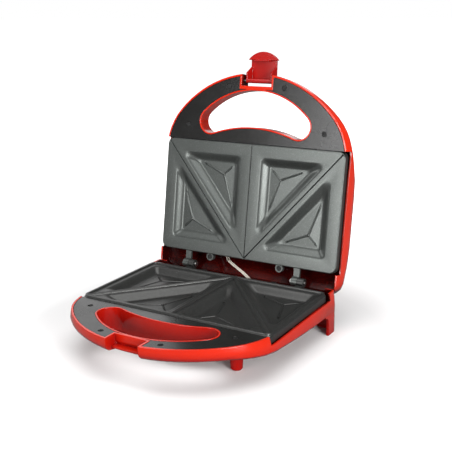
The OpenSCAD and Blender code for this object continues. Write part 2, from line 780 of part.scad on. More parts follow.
module terminal_block() color("ivory") in_base() difference() {
    translate([block_x, block_y, block_up]) cube([block_l, block_w, block_h]);
    for (k = [1, 3, 5]) translate([block_x + k * block_l / 6, block_y + block_w / 2, block_up - 1])
        cylinder(r = 2, h = 4.5);
}

module cord_inlet_bush() color(black) in_base()
    translate([inlet_x, base_back, inlet_down]) rotate([-90, 0, 0]) difference() {
        union() {
            translate([0, 0, -wall - 1.8]) cylinder(r = inlet_r - seat_gap, h = wall + 2);
            translate([0, 0, seat_gap]) cylinder(r = inlet_r + 1.2, h = 1.4);
        }
        translate([0, 0, -far / 2]) cylinder(r = inlet_r - 1.4, h = far);
    }

function roof(edge, rise, y) =
    let (s = (y + crown_front) / (-front_back - front_r + edge_round + crown_front))
    edge(y) + s * s * edge_lift + (1 - s * s) * rise;

lens_r = 4;

module lamp_lens(x, tint) color(tint) in_lid() translate([x, -lamp_front, 0]) {
    top = roof(lid_edge, lid_rise, -lamp_front);
    translate([0, 0, top - 7]) cylinder(r = lamp_r, h = 7);
    intersection() {
        translate([0, 0, top - lens_r]) sphere(r = norm([lamp_r, lens_r]));
        translate([0, 0, top]) cylinder(r = lamp_r, h = lens_r);
    }
}

module power_lamp_lens() lamp_lens(-lamp_x, [0.9, 0.1, 0.05]);
module ready_lamp_lens() lamp_lens(lamp_x, [0.1, 0.7, 0.15]);

module lamp_carrier() color(black) in_lid() translate([0, -lamp_front, 0]) {
    top = roof(lid_edge, lid_rise, -lamp_front) - 7.1;
    translate([-lamp_x - 5, -4.5, top - 1.5]) cube([2 * lamp_x + 10, 9, 1.5]);
}

module latch_pin() color(steel) in_lid()
    translate([-pin_l / 2 + 0.3, -latch_front, latch_up]) rotate([0, 90, 0])
        cylinder(r = latch_pin_r, h = pin_l - 0.6);

// Hook latch, drawn hanging straight down from its pin with its outside towards the front
module latch_clip() color(red) in_latch() difference() {
    union() {
        rotate([0, 90, 0]) translate([0, 0, -latch_half]) cylinder(r = barrel_r, h = 2 * latch_half);
        latch_slice(latch_half) latch_plate();
        for (s = [-1, 1]) translate([s * (latch_half - 0.8), 0, 0]) latch_slice(0.8) latch_cheek();
        latch_slice(hook_half) latch_hook();
        finger_tab();
    }
    rotate([0, 90, 0]) translate([0, 0, -far]) cylinder(r = latch_pin_r + pin_fit, h = 2 * far);
}

hook_half = 9;
hook_in = -2.4;
// Where the keeper's underside lies below the pin when the latch is shut
hook_down = latch_up + keeper_down + 2 * hinge_up + 0.8;

module latch_slice(half) rotate([90, 0, 90]) translate([0, 0, -half]) linear_extrude(2 * half)
    children();

// Side view of the latch's plate with its round shoulder over the pin
module latch_plate() {
    shoulder = 4;
    polygon(concat(
        [[0, -1], [0, barrel_r]],
        [for (a = [90:15:180])
            [-latch_reach - latch_t + shoulder + shoulder * cos(a), barrel_r - shoulder + shoulder * sin(a)]],
        [[-latch_reach - latch_t, -latch_l - 1], [-latch_reach, -latch_l - 1]],
        [for (a = [180:-30:90])
            [-latch_reach + 1.6 + 1.6 * cos(a), barrel_r - latch_t - 1.6 + 1.6 * sin(a)]]));
}

// Side walls that stiffen the latch beside its pin
module latch_cheek()
    polygon([[barrel_r, 0], [barrel_r, -9.2], [-latch_reach - 1, -16.4], [-latch_reach - 1, 0.4],
        [0, barrel_r]]);

module latch_hook()
    polygon([[-latch_reach - 1, -hook_down], [hook_in, -hook_down],
        [hook_in, -hook_down - 1.2], [-latch_reach - 1, -latch_l - 0.5]]);

// Domed tab below the plate
module finger_tab() translate([0, -latch_reach, -latch_l]) rotate([-5, 0, 0])
    rotate([90, 0, 0]) translate([0, 0, -2.4]) linear_extrude(latch_t + 1.6) intersection() {
        r = (tab_half * tab_half + tab_l * tab_l) / (2 * tab_l);
        translate([0, r - tab_l]) circle(r = r, $fn = 96);
        translate([0, tab_half - 2.2]) circle(r = tab_half * 1.32, $fn = 96);
        translate([-far, -tab_l - 1]) square([2 * far, tab_l + 2.4]);
    }

// Leads in a sleeve, from the terminal block over the base's back wall into the lid
sleeve_r = 2.1;
sleeve_route = [
    [31, -15.1, -25], [30, -9, -23], [27, -2.5, -17.5], [22, 3.5, -10.5], [15, 8, -4], [5, 11.5, 1.5],
    [-6, 15, 5.5], [-16, 19.5, 8.5], [-24, 26, 9.5], [-30, 33.4, 13], [-33, 38, 20]
];

function unit(v) = v / norm(v);
module tube(path, r, sides) {
    n = len(path);
    rings = [for (i = [0:n - 1])
        let (
            t = unit(path[min(i + 1, n - 1)] - path[max(i - 1, 0)]),
            u = unit(cross(t, [0, 0, 1])),
            v = cross(u, t)
        ) [for (k = [0:sides - 1]) path[i] + r * (cos(360 * k / sides) * u + sin(360 * k / sides) * v)]];
    loft_tube(rings);
}

module loft_tube(rings) {
    n = len(rings[0]);
    m = len(rings);
    sides = [for (k = [0:m - 2]) for (i = [0:n - 1])
        let (j = (i + 1) % n, a = k * n + i, b = k * n + j)
        each [[a, b, a + n], [b, b + n, a + n]]];
    start = [[for (i = [n - 1:-1:0]) i]];
    end = [[for (i = [0:n - 1]) (m - 1) * n + i]];
    polyhedron(flat(rings), concat(start, sides, end));
}

module wire_sleeve() color([0.75, 0.73, 0.7]) in_place() tube(sleeve_route, sleeve_r, 8);

// ---- placing ----

lid_rings = skin(lid_edge, lid_rise, 0, 0, lid_back, lid_back_r, crown_steps);
open_y = [for (p = flat(lid_rings))
    hinge_back + (p[1] - hinge_back) * cos(open_angle) + (p[2] + hinge_up) * sin(open_angle)];
place_y = (front_back + front_r - max(open_y)) / 2;

module in_place() translate([0, place_y, stand_h]) children();
module in_base() in_place() mirror([0, 0, 1]) children();
module in_lid() in_place() translate([0, hinge_back, hinge_up]) rotate([-open_angle, 0, 0])
    translate([0, -hinge_back, hinge_up]) children();
module in_latch() in_lid() translate([0, -latch_front, latch_up]) rotate([-latch_angle, 0, 0])
    children();

module lower_handle_trim() in_base() handle_trim();
module lower_trim_screws() in_base() trim_screws();
module lower_plate_screws() in_base() plate_screws();
module lower_heating_element() in_base() heating_element();
module lower_element_bushes() in_base() element_bushes();
module lower_element_clamp() in_base() element_clamp();
module lower_clamp_screw() in_base() clamp_screw();
module lower_reflector() in_base() reflector();
module upper_handle_trim() in_lid() handle_trim();
module upper_trim_screws() in_lid() trim_screws();
module upper_plate_screws() in_lid() plate_screws();
module upper_heating_element() in_lid() heating_element();
module upper_element_bushes() in_lid() element_bushes();
module upper_element_clamp() in_lid() element_clamp();
module upper_clamp_screw() in_lid() clamp_screw();
module upper_reflector() in_lid() reflector();

lower_housing();
lower_cooking_plate();
lower_handle_trim();
lower_trim_screws();
lower_plate_screws();
lower_heating_element();
lower_element_bushes();
lower_element_clamp();
lower_clamp_screw();
lower_reflector();
hinge_pins();
terminal_block();
cord_inlet_bush();
wire_sleeve();
upper_housing();
upper_cooking_plate();
upper_handle_trim();
upper_trim_screws();
upper_plate_screws();
upper_heating_element();
upper_element_bushes();
upper_element_clamp();
upper_clamp_screw();
upper_reflector();
thermostat();
thermal_fuse();
lamp_carrier();
power_lamp_lens();
ready_lamp_lens();
latch_pin();
latch_clip();
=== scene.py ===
"""Dresses the open sandwich toaster: finishes, soft edges, pressed plates, leads, studio and camera."""
import math

import bmesh
import bpy
from mathutils import Matrix, Vector


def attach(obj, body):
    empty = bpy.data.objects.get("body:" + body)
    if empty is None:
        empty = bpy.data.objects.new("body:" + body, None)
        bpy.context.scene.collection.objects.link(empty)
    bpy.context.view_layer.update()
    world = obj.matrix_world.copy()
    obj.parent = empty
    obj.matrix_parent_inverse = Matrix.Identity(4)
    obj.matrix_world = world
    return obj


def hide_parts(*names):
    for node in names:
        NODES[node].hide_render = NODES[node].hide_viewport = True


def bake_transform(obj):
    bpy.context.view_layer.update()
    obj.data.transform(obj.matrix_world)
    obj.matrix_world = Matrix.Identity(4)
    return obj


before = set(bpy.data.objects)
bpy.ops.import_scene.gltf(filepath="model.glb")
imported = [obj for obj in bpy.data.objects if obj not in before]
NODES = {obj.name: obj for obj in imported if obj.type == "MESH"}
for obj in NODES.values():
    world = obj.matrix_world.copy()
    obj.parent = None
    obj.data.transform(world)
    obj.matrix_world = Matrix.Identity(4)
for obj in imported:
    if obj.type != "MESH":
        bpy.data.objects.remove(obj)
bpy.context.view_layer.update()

MM = 0.001


# ---- colours and shader helpers ----

# A Mix node's sockets go by number: how far, the two numbers or colours, and what comes out
HOW_FAR = 0
NUMBER_A, NUMBER_B, NUMBER_OUT = 2, 3, 0
COLOUR_A, COLOUR_B, COLOUR_OUT = 6, 7, 2


def paint(red, green, blue):
    """A colour picked as 0 to 255 on screen, as the shader wants it."""
    parts = []
    for level in (red, green, blue):
        level = level / 255
        parts.append(level / 12.92 if level <= 0.04045 else ((level + 0.055) / 1.055) ** 2.4)
    return (*parts, 1.0)


def grey(level):
    """A plain grey, given as the shader wants it."""
    return (level, level, level, 1.0)


def add(tree, kind, values=None, **settings):
    """A shader node with its settings and the values of its sockets."""
    node = tree.nodes.new(kind)
    for name, value in settings.items():
        setattr(node, name, value)
    for name, value in (values or {}).items():
        node.inputs[name].default_value = value
    return node


def blank(name):
    """A new material with its tree and its shader, wired to the output."""
    material = bpy.data.materials.new(name)
    material.use_nodes = True
    tree = material.node_tree
    tree.nodes.clear()
    shader = add(tree, "ShaderNodeBsdfPrincipled")
    out = add(tree, "ShaderNodeOutputMaterial")
    tree.links.new(shader.outputs["BSDF"], out.inputs["Surface"])
    return material, tree, shader


def colour_mix(tree, mask, first, second):
    """A colour that runs from first to second with a mask. Each is a colour or a socket."""
    mix = add(tree, "ShaderNodeMix", data_type="RGBA")
    tree.links.new(mask, mix.inputs[HOW_FAR])
    for colour, socket in ((first, COLOUR_A), (second, COLOUR_B)):
        if isinstance(colour, bpy.types.NodeSocket):
            tree.links.new(colour, mix.inputs[socket])
        else:
            mix.inputs[socket].default_value = colour
    return mix.outputs[COLOUR_OUT]


def ramp(tree, value, start=0.0, end=1.0, low=0.0, high=1.0):
    """A number that runs from low to high while a value runs from start to end."""
    spread = add(tree, "ShaderNodeMapRange",
                 {"From Min": start, "From Max": end, "To Min": low, "To Max": high})
    tree.links.new(value, spread.inputs["Value"])
    return spread.outputs["Result"]


def product(tree, first, second):
    """Two numbers multiplied."""
    times = add(tree, "ShaderNodeMath", operation="MULTIPLY")
    tree.links.new(first, times.inputs[0])
    tree.links.new(second, times.inputs[1])
    return times.outputs[0]


def new_group(name, inputs, outputs):
    """A shader node group with named number inputs and outputs."""
    tree = bpy.data.node_groups.new(name, "ShaderNodeTree")
    for label, value in inputs:
        socket = tree.interface.new_socket(label, in_out="INPUT", socket_type="NodeSocketFloat")
        socket.default_value = value
    for label in outputs:
        tree.interface.new_socket(label, in_out="OUTPUT", socket_type="NodeSocketFloat")
    return tree, add(tree, "NodeGroupInput"), add(tree, "NodeGroupOutput")


def noise_on(tree, place, scale, **values):
    """Noise on the piece's own coordinates, with its scale from a socket."""
    noise = add(tree, "ShaderNodeTexNoise", values)
    tree.links.new(place.outputs["Object"], noise.inputs["Vector"])
    tree.links.new(scale, noise.inputs["Scale"])
    return noise.outputs["Fac"]


def make_ripple():
    """Slow waviness and fine orange peel of a moulded or cast skin, as a height."""
    tree, start, end = new_group(
        "moulded_ripple", [("Wave", 30.0), ("Peel", 900.0), ("Share", 0.25)], ["Height"])
    place = add(tree, "ShaderNodeTexCoord")
    mix = add(tree, "ShaderNodeMix")
    wave = noise_on(tree, place, start.outputs["Wave"], Detail=2.0)
    peel = noise_on(tree, place, start.outputs["Peel"], Detail=3.0, Roughness=0.6)
    tree.links.new(start.outputs["Share"], mix.inputs[HOW_FAR])
    tree.links.new(wave, mix.inputs[NUMBER_A])
    tree.links.new(peel, mix.inputs[NUMBER_B])
    tree.links.new(mix.outputs[NUMBER_OUT], end.inputs["Height"])
    return tree


def make_flecks():
    """Fine flecks of a sprayed non-stick coat, as a mask, and its grain as a height."""
    crispness = 7.0
    tree, start, end = new_group("coat_flecks", [("Fleck", 1500.0), ("Cut", 0.6)], ["Mask", "Grain"])
    place = add(tree, "ShaderNodeTexCoord")
    fleck = noise_on(tree, place, start.outputs["Fleck"], Detail=2.0, Roughness=0.7)
    step = add(tree, "ShaderNodeMath", operation="SUBTRACT")
    gain = add(tree, "ShaderNodeMath", {1: crispness}, operation="MULTIPLY", use_clamp=True)
    tree.links.new(fleck, step.inputs[0])
    tree.links.new(start.outputs["Cut"], step.inputs[1])
    tree.links.new(step.outputs[0], gain.inputs[0])
    tree.links.new(gain.outputs[0], end.inputs["Mask"])
    tree.links.new(fleck, end.inputs["Grain"])
    return tree


def make_rubs():
    """Soft cloudy patches where hands and cloths have rubbed a surface, as a mask."""
    tree, start, end = new_group("soft_rubs", [("Size", 18.0), ("Cut", 0.45)], ["Mask"])
    place = add(tree, "ShaderNodeTexCoord")
    cloud = noise_on(tree, place, start.outputs["Size"], Detail=5.0, Roughness=0.6, Distortion=0.4)
    spread = add(tree, "ShaderNodeMapRange", {"From Max": 0.75})
    tree.links.new(cloud, spread.inputs["Value"])
    tree.links.new(start.outputs["Cut"], spread.inputs["From Min"])
    tree.links.new(spread.outputs["Result"], end.inputs["Mask"])
    return tree


def make_painted_shade():
    """Painted shade, as a mask from ambient occlusion: 0 deep in hollows and crevices, 1 open to the room."""
    tree, start, end = new_group("painted_shade_from_occlusion", [("Reach", 0.09), ("Dark", 0.42), ("Light", 0.92)], ["Mask"])
    room = add(tree, "ShaderNodeAmbientOcclusion", samples=8)
    spread = add(tree, "ShaderNodeMapRange", interpolation_type="SMOOTHSTEP")
    tree.links.new(start.outputs["Reach"], room.inputs["Distance"])
    tree.links.new(start.outputs["Dark"], spread.inputs["From Min"])
    tree.links.new(start.outputs["Light"], spread.inputs["From Max"])
    tree.links.new(room.outputs["AO"], spread.inputs["Value"])
    tree.links.new(spread.outputs["Result"], end.inputs["Mask"])
    return tree


RIPPLE = make_ripple()
FLECKS = make_flecks()
RUBS = make_rubs()
PAINTED_SHADE = make_painted_shade()


def use(tree, group, **values):
    """Places a node group in a material's tree with its own values."""
    return add(tree, "ShaderNodeGroup", values, node_tree=group)


def surface_normal(tree, shader, height, depth, edge=0.0):
    """Bump from a height over edges rounded by the given radius."""
    bump = add(tree, "ShaderNodeBump", {"Strength": 1.0, "Distance": depth})
    tree.links.new(height, bump.inputs["Height"])
    if edge:
        soft = add(tree, "ShaderNodeBevel", {"Radius": edge}, samples=6)
        tree.links.new(soft.outputs["Normal"], bump.inputs["Normal"])
    tree.links.new(bump.outputs["Normal"], shader.inputs["Normal"])


def rubbed(tree, shader, low, high, **values):
    """Roughness that runs from low to high where the surface is rubbed, and the mask of the rubs."""
    mask = use(tree, RUBS, **values).outputs["Mask"]
    tree.links.new(ramp(tree, mask, low=low, high=high), shader.inputs["Roughness"])
    return mask


# ---- finishes ----

# The painted dark shade of the housings' hollow behind the plates starts over these distances back and up, in
# metres
HOLLOW_BACK = (0.03, 0.06)
HOLLOW_UP = (0.02, 0.03)
# Painted shade in the handles' openings
OPENING_SHADE_RED = paint(150, 13, 8)
# Painted shade in the plates' crevices
PAINTED_CREVICE_SHADE = paint(16, 16, 16)
# Rubbed metal keeps this share of its colour
WORN_SHARE = 0.72


def painted_hollow_shade(tree, shade_colour):
    """Painted shade: dim red in the handles' openings and the given dark colour in the hollow behind the
    plates.
    """
    place = add(tree, "ShaderNodeTexCoord")
    split = add(tree, "ShaderNodeSeparateXYZ")
    tree.links.new(place.outputs["Object"], split.inputs[0])
    behind = ramp(tree, split.outputs["Y"], *HOLLOW_BACK)
    above = ramp(tree, split.outputs["Z"], *HOLLOW_UP)
    return colour_mix(tree, product(tree, behind, above), OPENING_SHADE_RED, shade_colour)


def gloss_plastic(name, colour, deep, low=0.12, high=0.2, edge=0.9 * MM, shade_colour=None):
    """Glossy moulded plastic; shade_colour is painted shade for where little light gets in."""
    material, tree, shader = blank(name)
    ripple = use(tree, RIPPLE, Wave=26.0, Peel=700.0, Share=0.06)
    mask = rubbed(tree, shader, low, high, Size=14.0, Cut=0.4)
    skin = colour_mix(tree, mask, colour, deep)
    # Painted shade: recesses found by ambient occlusion take the dark hollow colours
    if shade_colour:
        skin = colour_mix(tree, use(tree, PAINTED_SHADE).outputs["Mask"], painted_hollow_shade(tree, shade_colour), skin)
    tree.links.new(skin, shader.inputs["Base Color"])
    surface_normal(tree, shader, ripple.outputs["Height"], depth=0.5 * MM, edge=edge)
    return material


def satin_black(name, colour, deep):
    """Satin moulded plastic of the inlays round the handles."""
    material, tree, shader = blank(name)
    ripple = use(tree, RIPPLE, Wave=40.0, Peel=1600.0, Share=0.5)
    mask = rubbed(tree, shader, low=0.22, high=0.3, Size=22.0, Cut=0.35)
    tree.links.new(colour_mix(tree, mask, colour, deep), shader.inputs["Base Color"])
    surface_normal(tree, shader, ripple.outputs["Height"], depth=0.08 * MM, edge=0.4 * MM)
    return material


def non_stick(name, colour, fleck):
    """Sprayed non-stick coat with fine flecks, and painted shade in its crevices."""
    material, tree, shader = blank(name)
    flecks = use(tree, FLECKS, Fleck=1300.0, Cut=0.56)
    coat = colour_mix(tree, flecks.outputs["Mask"], colour, fleck)
    # Painted shade: crevices found by ambient occlusion turn near black
    crevice_shade = use(tree, PAINTED_SHADE, Reach=0.005, Dark=0.25, Light=0.8)
    shaded = colour_mix(tree, crevice_shade.outputs["Mask"], PAINTED_CREVICE_SHADE, coat)
    tree.links.new(shaded, shader.inputs["Base Color"])
    rubbed(tree, shader, low=0.34, high=0.4, Size=16.0, Cut=0.4)
    shader.inputs["Metallic"].default_value = 0.7
    surface_normal(tree, shader, flecks.outputs["Grain"], depth=0.02 * MM)
    return material


def bare_metal(name, colour, rough):
    """Uncoated metal with a slight grain."""
    material, tree, shader = blank(name)
    ripple = use(tree, RIPPLE, Wave=60.0, Peel=900.0, Share=0.6)
    mask = rubbed(tree, shader, rough, rough + 0.12, Size=60.0, Cut=0.35)
    worn = (*(WORN_SHARE * part for part in colour[:3]), 1.0)
    tree.links.new(colour_mix(tree, mask, colour, worn), shader.inputs["Base Color"])
    shader.inputs["Metallic"].default_value = 1.0
    surface_normal(tree, shader, ripple.outputs["Height"], depth=0.05 * MM, edge=0.2 * MM)
    return material


def dull(name, colour, deep, rough, depth=0.1 * MM):
    """Ceramic, rubber, woven sleeve and blackened screws: no gloss, with a grain of the given depth."""
    material, tree, shader = blank(name)
    ripple = use(tree, RIPPLE, Wave=80.0, Peel=1800.0, Share=0.7)
    mask = rubbed(tree, shader, rough, rough + 0.1, Size=50.0, Cut=0.35)
    tree.links.new(colour_mix(tree, mask, colour, deep), shader.inputs["Base Color"])
    surface_normal(tree, shader, ripple.outputs["Height"], depth=depth, edge=0.3 * MM)
    return material


def lens_plastic(name, colour, deep):
    """Clear tinted plastic of the lamps' lenses."""
    material = gloss_plastic(name, colour, deep, low=0.05, high=0.1, edge=0.3 * MM)
    shader = material.node_tree.nodes["Principled BSDF"]
    shader.inputs["Transmission Weight"].default_value = 0.35
    shader.inputs["Coat Weight"].default_value = 0.6
    return material


# The red's dark hollow colour is painted shade
RED = gloss_plastic("red_moulding", paint(199, 36, 8), paint(190, 31, 7), shade_colour=paint(40, 3, 3))
RED_CLIP = gloss_plastic("red_latch_moulding", paint(156, 17, 13), paint(145, 14, 11), low=0.16, high=0.26)
BLACK = satin_black("black_inlay_plastic", paint(20, 19, 18), paint(15, 15, 15))
COAT = non_stick("non_stick_coat", paint(80, 83, 81), paint(110, 115, 112))
# A darker copy of the coat, painted shade over the whole lower plate
COAT_SHADED = non_stick("non_stick_coat_painted_shade", paint(62, 62, 61), paint(88, 89, 88))
# A darker copy of the coat, painted shade on the upper plate's rolled edge
COAT_EDGE_SHADED = non_stick("non_stick_coat_painted_edge_shade", paint(40, 41, 41), paint(60, 61, 61))
STEEL = bare_metal("bright_steel", paint(190, 190, 188), 0.25)
SHEET = bare_metal("aluminium_sheet", paint(205, 207, 210), 0.3)
SCREW = dull("black_screw_finish", paint(14, 14, 14), paint(8, 8, 8), 0.55)
WHITE = dull("white_ceramic", paint(222, 216, 204), paint(205, 198, 186), 0.45)
RUBBER = dull("black_rubber", paint(30, 30, 30), paint(22, 22, 22), 0.6)
WOVEN = dull("pale_lead_sleeve", paint(196, 190, 178), paint(160, 154, 144), 0.6, depth=0.25 * MM)
RED_LENS = lens_plastic("red_lens", paint(200, 24, 16), paint(170, 18, 12))
GREEN_LENS = lens_plastic("green_lens", paint(30, 150, 60), paint(22, 120, 48))


# ---- pieces ----

MERGE = 0.004 * MM
FLAT_WITHIN = math.radians(0.4)


def wear(piece, material):
    """Gives a piece one finish all over."""
    piece.data.materials.clear()
    piece.data.materials.append(material)


def placed(name, data):
    """An object in the scene that shows the given mesh, lamp or lens."""
    piece = bpy.data.objects.new(name, data)
    bpy.context.scene.collection.objects.link(piece)
    return piece


def settle(form):
    """Puts a form's edges and faces in an order that is the same each run."""
    form.verts.index_update()
    for group in (form.edges, form.faces):
        in_order = sorted(group, key=lambda item: sorted(vert.index for vert in item.verts))
        ranks = {item: rank for rank, item in enumerate(in_order)}
        group.sort(key=ranks.get)


def finished(node, name, material, body, angle=32, edge=0.0, face=None):
    """A merged copy of a part with smooth faces and soft edges, which stands for it."""
    sharp = math.radians(angle)
    mesh = NODES[node].data.copy()
    mesh.name = name
    form = bmesh.new()
    form.from_mesh(mesh)
    bmesh.ops.remove_doubles(form, verts=form.verts, dist=MERGE)
    bmesh.ops.dissolve_limit(form, angle_limit=FLAT_WITHIN, verts=form.verts, edges=form.edges)
    if face:
        renew_face(form, face)
    for facet in form.faces:
        facet.smooth = True
    for side in form.edges:
        side.smooth = len(side.link_faces) == 2 and side.calc_face_angle(0) < sharp
    form.to_mesh(mesh)
    form.free()
    if mesh.has_custom_normals:
        mesh.attributes.remove(mesh.attributes["custom_normal"])
    piece = placed(name, mesh)
    wear(piece, material)
    # Second slot: the edge's coat, which is painted light
    if face:
        piece.data.materials.append(face["edge"])
    if edge:
        bevel = piece.modifiers.new("soft_edges", "BEVEL")
        bevel.width = edge
        bevel.segments = 2
        bevel.limit_method = "ANGLE"
        bevel.angle_limit = sharp
        bevel.harden_normals = False
    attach(piece, body)
    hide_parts(node)


# ---- the plates' pressed faces, in millimetres in the closed toaster's frame ----

# Back edge of the plates, plane where they meet, hinge line from there, and the lid's angle
PLACE_Y = 69.4222
STAND_H = 46.5
HINGE = Vector((0, 16, 0.8))
OPEN_ANGLE = math.radians(99.6)

# Outline of a plate's face, and its edge with the bevel round it
HALF_W = 113.0
PLATE_D = 130.0
CORNER_R = 7.0
EDGE_H = 8.2
BEVEL = 1.2

# Raised rim and ridges of the lower plate, and grooves of the upper one
RIM_W = 3.0
RIM_SLOPE = 0.8
RIM_TOE = 0.55
RIDGE_HALF = 2.5
GROOVE_HALF = 0.75

# Wells: land beside the dividing line, flank, corners, and the rise and peak of the floor
DIVIDER_LAND = 5.0
FLANK = 11.0
MOUTH_R = 5.0
FLOOR_R = 2.5
FLOOR_RISE = 0.4
PEAK_TO_CORNER = 0.07

# Thin ridges on a well's floor, from its peak towards the corners
LINE_HALF = 1.0
LINE_UP = 0.75
LINE_SHARE = 0.5
LINE_SHORT = 4

# Rings of points over a face: on the land, on a flank and on a floor, and round each ring
LAND_STEPS = (0, 0.25, 0.5, 0.75, 1.0, 1.5, 1.9, 2.2, 2.4, 2.6, 2.8, 3.0, 3.4)
FLANK_STEPS = 16
FLOOR_STEPS = 14
ARC_STEPS = 12
NEAR_CORNER = (0.01, 0.02, 0.03, 0.04, 0.05, 0.07, 0.1, 0.14, 0.19, 0.25, 0.32, 0.4)
SIDE_SHARES = (*NEAR_CORNER, 0.5, *(1 - share for share in reversed(NEAR_CORNER)))
ROLL_STEPS = (0.2, 0.4, 0.6, 0.8, 1.0)
SKIN_MERGE = 0.02

# How the old front is told from the rest: tilt of upright and of front faces, and small line ends
UPRIGHT = 0.05
FACING_FRONT = -0.02
FRONT_SLACK = 0.01
LINE_END_AREA = 2 * MM * MM
SKIRT_FROM = BEVEL - 0.1
SKIRT_TO = BEVEL + 0.05

# A raised rim or ridge wears the edge's coat above this share of its height: on the lower plate the lighter
# main coat, a painted highlight
RAISED_SHARE = 0.4
# Slot of the edge's coat: a painted highlight on the lower plate, painted shade on the upper one
PAINTED_LIGHT_SLOT = 1

IN_PLACE = Matrix.Translation((0, PLACE_Y, STAND_H))
# The edge's coat is painted light: the lower plate's rim, ridges and rolled edge wear the lighter main coat
# as a painted highlight, the upper plate's rolled edge a darker copy as painted shade
LOWER_FACE = {
    "place": IN_PLACE @ Matrix.Diagonal((1, 1, -1, 1)),
    "face": 0.35, "floor": 8.0, "land": 6.5, "inner": 5.5, "rim": 1.8, "groove": 0.0, "edge": COAT,
}
UPPER_FACE = {
    "place": IN_PLACE @ Matrix.Translation(HINGE) @ Matrix.Rotation(-OPEN_ANGLE, 4, "X")
    @ Matrix.Translation((0, -HINGE.y, HINGE.z)),
    "face": 0.15, "floor": 6.4, "land": 12.3, "inner": 12.3, "rim": 0.0, "groove": 1.1, "edge": COAT_EDGE_SHADED,
}


def clamp(value, low=0.0, high=1.0):
    """A value held between two others."""
    return max(low, min(high, value))


def ease(share):
    """A smooth step from 0 to 1."""
    share = clamp(share)
    return share * share * (3 - 2 * share)


def incentre(corners):
    """Middle of a triangle's inner circle, and the circle's radius."""
    a, b, c = ((corners[(i + 1) % 3] - corners[(i + 2) % 3]).length for i in range(3))
    middle = (corners[0] * a + corners[1] * b + corners[2] * c) / (a + b + c)
    area = abs((corners[1] - corners[0]).cross(corners[2] - corners[0]))
    return middle, area / (a + b + c)


def ring_of(corners, inset, radius):
    """A triangle drawn in by an inset with rounded corners; each side is cut at the same shares."""
    middle, reach = incentre(corners)
    scale = (reach - inset - radius) / reach
    centres = [middle + (corner - middle) * scale for corner in corners]
    turn = 1 if (corners[1] - corners[0]).cross(corners[2] - corners[0]) > 0 else -1
    ring = []
    for i in range(3):
        before = (corners[i] - corners[i - 1]).normalized()
        after = (corners[(i + 1) % 3] - corners[i]).normalized()
        out = Vector((before.y, -before.x)) * turn
        sweep = math.acos(clamp(before.dot(after), -1)) * turn
        for step in range(ARC_STEPS + 1):
            ring.append(centres[i] + Matrix.Rotation(sweep * step / ARC_STEPS, 2) @ out * radius)
        last = ring[-1]
        ahead = centres[(i + 1) % 3] + Vector((after.y, -after.x)) * turn * radius
        ring.extend(last.lerp(ahead, share) for share in SIDE_SHARES)
    return ring


def off_line(point, start, end):
    """Distance from a point to a segment."""
    along = end - start
    share = clamp((point - start).dot(along) / along.length_squared)
    return (point - start - along * share).length


def round_outline(point):
    """Bends the square corners of the plate's outline into round ones."""
    a = abs(point.x) - (HALF_W - CORNER_R)
    b = abs(point.y + PLATE_D / 2) - (PLATE_D / 2 - CORNER_R)
    if a <= 0 or b <= 0:
        return point
    bent_a = a * math.sqrt(1 - b * b / (2 * CORNER_R ** 2))
    bent_b = b * math.sqrt(1 - a * a / (2 * CORNER_R ** 2))
    y_side = 1 if point.y + PLATE_D / 2 > 0 else -1
    return Vector((math.copysign(HALF_W - CORNER_R + bent_a, point.x),
                   -PLATE_D / 2 + y_side * (PLATE_D / 2 - CORNER_R + bent_b)))


def land_height(point, face):
    """Height of the land with its rim and ridges, or with its grooves."""
    edge = min(HALF_W - abs(point.x), -point.y, PLATE_D + point.y)
    slope = math.atan2(PLATE_D, HALF_W)
    divide = min(abs(point.x), abs(abs(point.x) * math.sin(slope) + point.y * math.cos(slope)))
    if face["rim"]:
        rim = ease((RIM_W - edge) / RIM_SLOPE) * ease((edge + RIM_TOE) / RIM_SLOPE)
        ridge = math.sqrt(max(0.0, 1 - (divide / RIDGE_HALF) ** 2))
        return face["face"] - face["rim"] * max(rim, ridge)
    return face["face"] + face["groove"] * max(0.0, 1 - divide / GROOVE_HALF)


def well_and_region(face, outer):
    """Corners of a well's mouth and of the triangle of the face that it lies in, on the right half."""
    inner_x = HALF_W - face["land"] if outer else face["inner"]
    slope = PLATE_D / HALF_W
    shift = DIVIDER_LAND / math.sin(math.atan2(PLATE_D, HALF_W)) * (1 if outer else -1)
    y0 = -face["land"] if outer else -PLATE_D + face["land"]
    mouth = [(inner_x, y0), (-y0 / slope + shift, y0), (inner_x, -(inner_x - shift) * slope)]
    if outer:
        region = [(HALF_W, 0), (0, 0), (HALF_W, -PLATE_D)]
    else:
        region = [(0, -PLATE_D), (HALF_W, -PLATE_D), (0, 0)]
    return [Vector(corner) for corner in mouth], [Vector(corner) for corner in region]


def well_rings(face, outer):
    """Rings of points and heights from the edge of a quarter face to the peak of its well's floor."""
    mouth, region = well_and_region(face, outer)
    rings = [[(p, land_height(p, face)) for p in ring_of(region, inset, 0.0)] for inset in LAND_STEPS]
    for step in range(FLANK_STEPS + 1):
        share = step / FLANK_STEPS
        drop = (1 - math.cos(math.pi * share)) / 2
        height = face["face"] + (face["floor"] - face["face"]) * drop
        radius = MOUTH_R - (MOUTH_R - FLOOR_R) * share
        rings.append([(p, height) for p in ring_of(mouth, FLANK * share, radius)])
    peak = incentre(mouth)[0].lerp(mouth[0], PEAK_TO_CORNER)
    lines = []
    for corner in mouth:
        way = corner - peak
        lines.append((peak, peak + way.normalized() * (LINE_SHARE * way.length - LINE_SHORT)))
    floor_ring = [p for p, height in rings[-1]]
    for step in range(1, FLOOR_STEPS + 1):
        share = step / FLOOR_STEPS
        ring = []
        for p in floor_ring:
            spot = p.lerp(peak, share)
            away = min(off_line(spot, *line) for line in lines)
            height = face["floor"] - FLOOR_RISE * share - LINE_UP * ease(1 - away / LINE_HALF)
            ring.append((spot, height))
        rings.append(ring)
    return rings


